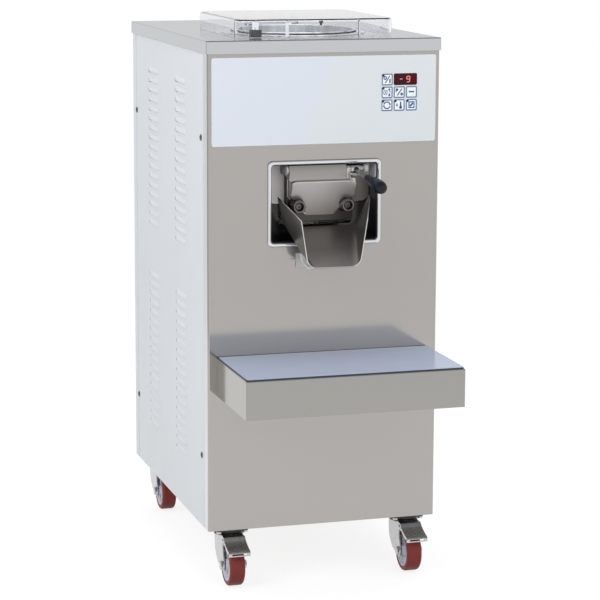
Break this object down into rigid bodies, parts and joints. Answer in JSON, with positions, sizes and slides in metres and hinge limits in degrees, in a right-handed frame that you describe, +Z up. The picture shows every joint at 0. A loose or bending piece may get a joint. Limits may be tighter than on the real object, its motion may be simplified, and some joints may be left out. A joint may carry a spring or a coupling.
{
  "type": "batch freezer",
  "caption": "Upright batch freezer on castors: steel cabinet with a clear hinged lid over a stirred freezing cylinder, an outlet hatch with a lever and chute, a keypad and a shelf.",
  "frame": {"origin": "on the floor, under the middle of the whole machine's bounding box", "axes": "+Z up, +X to the right of the front as the person serving sees it, +Y to the rear"},
  "size_m": [0.465, 0.873, 1.088],
  "materials": {
    "stainless": "brushed",
    "polished_steel": "polished",
    "cast_steel": "satin",
    "white_paint": "satin",
    "overlay_film": "gloss",
    "key_film": "satin",
    "display_red": "gloss",
    "black_plastic": "satin",
    "knob_plastic": "gloss",
    "clear_plastic": "clear",
    "mat_plastic": "satin",
    "zinc": "bright zinc",
    "red_tyre": "satin",
    "hub_plastic": "satin",
    "rubber": "matte",
    "white_plastic": "satin",
    "machine_paint": "satin",
    "cast_iron": "machined",
    "aluminium": "mill"
  },
  "bodies": {
    "cabinet": {"base_tray": "stainless", "machine_deck": "aluminium", "front_panel": "stainless", "left_side_panel": "white_paint", "right_side_panel": "white_paint", "rear_panel": "stainless", "top_cover": "stainless", "cable_gland": "black_plastic", "control_overlay": "overlay_film", "keypad_board": "display_red", "recess_liner": "black_plastic", "recess_trim": "polished_steel", "shelf_body": "stainless", "chute_bracket": "stainless", "lid_hinge_bracket": "polished_steel", "lid_hinge_pin": "polished_steel", "freezing_cylinder": "polished_steel", "bearing_housing": "cast_iron", "drive_belt": "rubber", "drive_motor": "machine_paint", "compressor": "machine_paint", "condenser": "aluminium", "castor_plate_fl": "zinc", "castor_plate_fr": "zinc", "castor_plate_rl": "zinc", "castor_plate_rr": "zinc"},
    "lid": {"lid_cover": "clear_plastic", "lid_magnet": "black_plastic"},
    "hatch": {"outlet_door": "cast_steel", "door_seal": "rubber", "hatch_lever": "cast_steel", "lever_knob": "knob_plastic"},
    "chute": {"chute": "cast_steel"},
    "mat": {"shelf_mat": "mat_plastic"},
    "stirrer": {"agitator": "polished_steel", "scraper_cage": "white_plastic", "driven_pulley": "cast_iron"},
    "motor_drive": {"motor_pulley": "cast_iron"},
    "fan": {"condenser_fan": "aluminium"},
    "key_power": {"key_power": "key_film"},
    "key_mix": {"key_mix": "key_film"},
    "key_program": {"key_program": "key_film"},
    "key_minus": {"key_minus": "key_film"},
    "key_cycle": {"key_cycle": "key_film"},
    "key_temperature": {"key_temperature": "key_film"},
    "key_confirm": {"key_confirm": "key_film"},
    "castor_fl": {"castor_fork_fl": "zinc"},
    "wheel_fl": {"wheel_hub_fl": "hub_plastic", "wheel_tyre_fl": "red_tyre"},
    "pedal_fl": {"brake_pedal_fl": "zinc"},
    "castor_fr": {"castor_fork_fr": "zinc"},
    "wheel_fr": {"wheel_hub_fr": "hub_plastic", "wheel_tyre_fr": "red_tyre"},
    "pedal_fr": {"brake_pedal_fr": "zinc"},
    "castor_rl": {"castor_fork_rl": "zinc"},
    "wheel_rl": {"wheel_hub_rl": "hub_plastic", "wheel_tyre_rl": "red_tyre"},
    "castor_rr": {"castor_fork_rr": "zinc"},
    "wheel_rr": {"wheel_hub_rr": "hub_plastic", "wheel_tyre_rr": "red_tyre"}
  },
  "joints": [
    {"name": "lid_hinge", "type": "hinge", "parent": "cabinet", "child": "lid", "pos_m": [0, 0.1525, 1.064], "axis": [-1, 0, 0], "range_deg": [0, 100]},
    {"name": "hatch_swing", "type": "hinge", "parent": "cabinet", "child": "hatch", "pos_m": [0, -0.2155, 0.805], "axis": [-1, 0, 0], "range_deg": [0, 35]},
    {"name": "chute_pull", "type": "slide", "parent": "cabinet", "child": "chute", "axis": [0, -1, 0], "range_m": [0, 0.12]},
    {"name": "mat_lift", "type": "slide", "parent": "cabinet", "child": "mat", "axis": [0, 0, 1], "range_m": [0, 0.05]},
    {"name": "key_power_press", "type": "slide", "parent": "cabinet", "child": "key_power", "axis": [0, 1, 0], "range_m": [0, 0.0008], "stiffness_N_per_m": 3000},
    {"name": "key_mix_press", "type": "slide", "parent": "cabinet", "child": "key_mix", "axis": [0, 1, 0], "range_m": [0, 0.0008], "stiffness_N_per_m": 3000},
    {"name": "key_program_press", "type": "slide", "parent": "cabinet", "child": "key_program", "axis": [0, 1, 0], "range_m": [0, 0.0008], "stiffness_N_per_m": 3000},
    {"name": "key_minus_press", "type": "slide", "parent": "cabinet", "child": "key_minus", "axis": [0, 1, 0], "range_m": [0, 0.0008], "stiffness_N_per_m": 3000},
    {"name": "key_cycle_press", "type": "slide", "parent": "cabinet", "child": "key_cycle", "axis": [0, 1, 0], "range_m": [0, 0.0008], "stiffness_N_per_m": 3000},
    {"name": "key_temperature_press", "type": "slide", "parent": "cabinet", "child": "key_temperature", "axis": [0, 1, 0], "range_m": [0, 0.0008], "stiffness_N_per_m": 3000},
    {"name": "key_confirm_press", "type": "slide", "parent": "cabinet", "child": "key_confirm", "axis": [0, 1, 0], "range_m": [0, 0.0008], "stiffness_N_per_m": 3000},
    {"name": "stirrer_spin", "type": "hinge", "parent": "cabinet", "child": "stirrer", "pos_m": [0, -0.0135, 0.7], "axis": [0, 0, 1], "continuous": true},
    {"name": "motor_spin", "type": "hinge", "parent": "cabinet", "child": "motor_drive", "pos_m": [0, 0.2465, 0.586], "axis": [0, 0, 1], "continuous": true},
    {"name": "fan_spin", "type": "hinge", "parent": "cabinet", "child": "fan", "pos_m": [0.14, 0.0865, 0.35], "axis": [1, 0, 0], "continuous": true},
    {"name": "castor_fl_swivel", "type": "hinge", "parent": "cabinet", "child": "castor_fl", "pos_m": [-0.18, -0.1875, 0.1], "axis": [0, 0, 1], "continuous": true},
    {"name": "wheel_fl_spin", "type": "hinge", "parent": "castor_fl", "child": "wheel_fl", "pos_m": [-0.18, -0.2205, 0.04], "axis": [1, 0, 0], "continuous": true},
    {"name": "pedal_fl_press", "type": "hinge", "parent": "castor_fl", "child": "pedal_fl", "pos_m": [-0.18, -0.2235, 0.0915], "axis": [1, 0, 0], "range_deg": [0, 14]},
    {"name": "castor_fr_swivel", "type": "hinge", "parent": "cabinet", "child": "castor_fr", "pos_m": [0.18, -0.1875, 0.1], "axis": [0, 0, 1], "continuous": true},
    {"name": "wheel_fr_spin", "type": "hinge", "parent": "castor_fr", "child": "wheel_fr", "pos_m": [0.18, -0.2205, 0.04], "axis": [1, 0, 0], "continuous": true},
    {"name": "pedal_fr_press", "type": "hinge", "parent": "castor_fr", "child": "pedal_fr", "pos_m": [0.18, -0.2235, 0.0915], "axis": [1, 0, 0], "range_deg": [0, 14]},
    {"name": "castor_rl_swivel", "type": "hinge", "parent": "cabinet", "child": "castor_rl", "pos_m": [-0.18, 0.3805, 0.1], "axis": [0, 0, 1], "continuous": true},
    {"name": "wheel_rl_spin", "type": "hinge", "parent": "castor_rl", "child": "wheel_rl", "pos_m": [-0.18, 0.3475, 0.04], "axis": [1, 0, 0], "continuous": true},
    {"name": "castor_rr_swivel", "type": "hinge", "parent": "cabinet", "child": "castor_rr", "pos_m": [0.18, 0.3805, 0.1], "axis": [0, 0, 1], "continuous": true},
    {"name": "wheel_rr_spin", "type": "hinge", "parent": "castor_rr", "child": "wheel_rr", "pos_m": [0.18, 0.3475, 0.04], "axis": [1, 0, 0], "continuous": true}
  ],
  "couplings": [
    {"joint": "motor_spin", "follows": "stirrer_spin", "ratio": 3.125}
  ]
}
